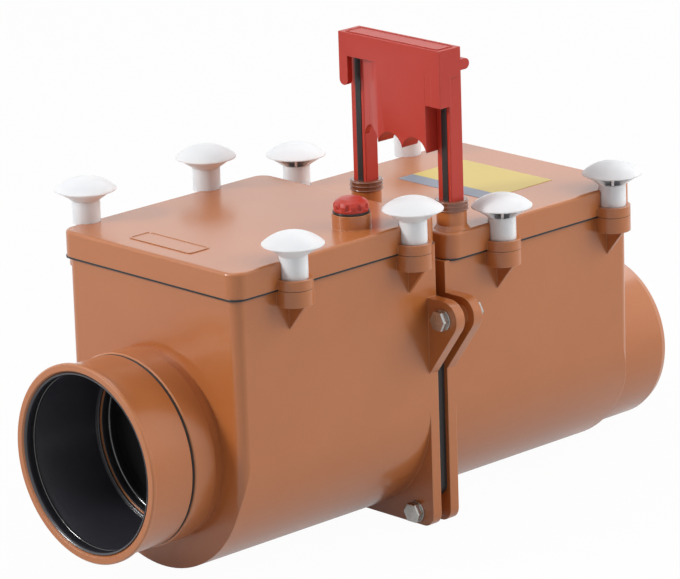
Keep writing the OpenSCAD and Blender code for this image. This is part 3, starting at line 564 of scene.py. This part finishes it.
def makeLidLip(name, v):
    bm = flatPlate(*v["x"], -v["y"], v["y"], v["top"] - v["thick"], v["thick"], v["corner"])
    caps = [f for f in bm.faces if abs(f.normal.z) > levelNormal]
    for cap in caps:
        bmesh.ops.inset_region(bm, faces=[cap], thickness=v["width"], depth=0.0)
    loops = [e for cap in caps for e in cap.edges]
    bmesh.ops.delete(bm, geom=caps, context="FACES_ONLY")
    bmesh.ops.bridge_loops(bm, edges=loops)
    for i in range(1, 5):
        low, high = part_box(v["fasteners"] + str(i))
        mid = (low[0] + high[0]) / 2
        side = 1 if low[1] + high[1] > 0 else -1
        for x in (mid - v["cup"], mid + v["cup"]):
            every = list(bm.verts) + list(bm.edges) + list(bm.faces)
            bmesh.ops.bisect_plane(bm, geom=every, plane_co=(x, 0, 0), plane_no=(1, 0, 0))
        centres = [(f, f.calc_center_median()) for f in bm.faces]
        inCup = [f for f, c in centres if abs(c.x - mid) < v["cup"] and c.y * side > v["y"] / 2]
        bmesh.ops.delete(bm, geom=inCup, context="FACES")
    bmesh.ops.holes_fill(bm, edges=[e for e in bm.edges if e.is_boundary])
    bmesh.ops.recalc_face_normals(bm, faces=bm.faces)
    # painted shade: the strip stands for the dark shade line under the skirt
    newPiece(name, bm, v["body"], "black_rubber")


for name, v in lidShadeStripSet.items():
    makeLidLip(name, v)
print("lids sealed")


# handle and legs with the rounded edges of a moulding, made from the solids
# painted highlight: the legs get a stronger, paler highlight painted along their edges
legLook = surface("LegRedEdgeHighlight", dict(
    finishes["red_plastic"], edgeHighlightColour=(0.80, 0.34, 0.30), paintedEdgeHighlight=0.4, edgeRadius=0.0010))
roundPlain = {"look": legLook, "width": 0.0009, "segments": 3, "sharp": 40, "flat": 1, "weld": 2e-6}
roundSet = {
    "lockHandle": dict(roundPlain, node="lock_handle", look=looks["red_plastic"], width=0.0018),
    "lockRearLeg": dict(roundPlain, node="lock_rear_leg"),
    "lockFrontLeg": dict(roundPlain, node="lock_front_leg"),
}


def roundedCopy(name, v):
    bm = bmesh.new()
    bm.from_mesh(nodes[v["node"]].data)
    bmesh.ops.remove_doubles(bm, verts=bm.verts, dist=v["weld"])
    bmesh.ops.dissolve_limit(bm, angle_limit=math.radians(v["flat"]), verts=bm.verts, edges=bm.edges)
    bmesh.ops.recalc_face_normals(bm, faces=bm.faces)
    o = newPiece(name, bm, "lock", "red_plastic", v["look"])
    rounder = o.modifiers.new("moulded", "BEVEL")
    rounder.width = v["width"]
    rounder.segments = v["segments"]
    rounder.limit_method = "ANGLE"
    rounder.angle_limit = math.radians(v["sharp"])
    rounder.profile = 0.5
    smoothBy(o, v["sharp"])
    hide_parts(v["node"])


for name, v in roundSet.items():
    roundedCopy(name, v)
print("handle rounded")


# black faces of the leg slots, and the web that makes the handle's post flush with its grip
trimSet = {
    "rearLegLine": {"x": (0.02235, 0.0245), "y": (0.0082, 0.0150), "z": (0.280, 0.4208),
                    "slot": "black_rubber"},
    "frontLegLine": {"x": (0.02235, 0.0245), "y": (-0.1023, -0.0955), "z": (0.280, 0.3898),
                     "slot": "black_rubber"},
    "postWeb": {"x": (0.0086, 0.0224), "y": (-0.0975, -0.0890), "z": (0.3902, 0.4215),
                "slot": "red_plastic"},
}


def makeTrim(name, v):
    low, high = v["z"]
    newPiece(name, flatPlate(*v["x"], *v["y"], low, high - low, 0.0), "lock", v["slot"])


for name, v in trimSet.items():
    makeTrim(name, v)
print("handle trimmed")


# studio: white sweep and four broad lamps, the first kept out of reflections
studioSet = {
    "floorSize": 14.0, "floorDrop": 0.0005, "floorWhite": 0.62, "floorGlow": 0.97, "floorSheen": 0.45,
    "ambient": 0.24, "aim": (0, 0, 0.15),
    "lamps": [
        {"place": (2.7, -2.5, 2.1), "size": 3.2, "power": 144.0, "mirrored": False},
        {"place": (-3.2, 1.4, 2.1), "size": 0.9, "power": 98.0, "mirrored": True},
        {"place": (2.6, 0.6, 2.6), "size": 1.8, "power": 20.0, "mirrored": True},
        {"place": (-0.6, 0.2, 3.4), "size": 2.0, "power": 22.0, "mirrored": True},
    ],
}


def cameraLike(t, sheen):
    path = t.nodes.new("ShaderNodeLightPath")
    glossy = mathNode(t, "MULTIPLY", path.outputs["Is Glossy Ray"], sheen)
    seen = mathNode(t, "MAXIMUM", path.outputs["Is Camera Ray"], glossy)
    return mathNode(t, "MAXIMUM", seen, path.outputs["Is Transmission Ray"])


def makeFloor(v):
    bm = bmesh.new()
    bmesh.ops.create_grid(bm, x_segments=2, y_segments=2, size=v["floorSize"] / 2)
    floor = newObject("floor", bm)
    floor.location.z = -v["floorDrop"]
    mat = bpy.data.materials.new("WhiteFloor")
    mat.use_nodes = True
    t = mat.node_tree
    t.nodes.remove(t.nodes["Principled BSDF"])
    diffuse = t.nodes.new("ShaderNodeBsdfDiffuse")
    diffuse.inputs["Color"].default_value = (v["floorWhite"],) * 3 + (1.0,)
    glow = t.nodes.new("ShaderNodeEmission")
    mix = t.nodes.new("ShaderNodeMixShader")
    share = mathNode(t, "MULTIPLY", cameraLike(t, v["floorSheen"]), v["floorGlow"])
    t.links.new(share, mix.inputs["Fac"])
    t.links.new(diffuse.outputs[0], mix.inputs[1])
    t.links.new(glow.outputs[0], mix.inputs[2])
    t.links.new(mix.outputs[0], t.nodes["Material Output"].inputs["Surface"])
    floor.data.materials.append(mat)


def makeLamp(name, v, aim):
    lamp = bpy.data.lights.new(name, "AREA")
    lamp.size = v["size"]
    lamp.energy = v["power"]
    o = bpy.data.objects.new(name, lamp)
    o.location = v["place"]
    o.visible_glossy = v["mirrored"]
    o.rotation_euler = (Vector(aim) - Vector(v["place"])).to_track_quat("-Z", "Y").to_euler()
    scene.collection.objects.link(o)


def makeWorld(v):
    world = bpy.data.worlds.new("WhiteSweep")
    scene.world = world
    world.use_nodes = True
    t = world.node_tree
    back = t.nodes["Background"]
    back.inputs["Color"].default_value = (1.0, 1.0, 1.0, 1.0)
    level = mathNode(t, "MULTIPLY_ADD", cameraLike(t, 1.0), 1.0 - v["ambient"], v["ambient"])
    t.links.new(level, back.inputs["Strength"])


makeFloor(studioSet)
for i, v in enumerate(studioSet["lamps"]):
    makeLamp(f"softbox{i}", v, studioSet["aim"])
makeWorld(studioSet)
scene.view_settings.view_transform = "Standard"
print("studio lit")
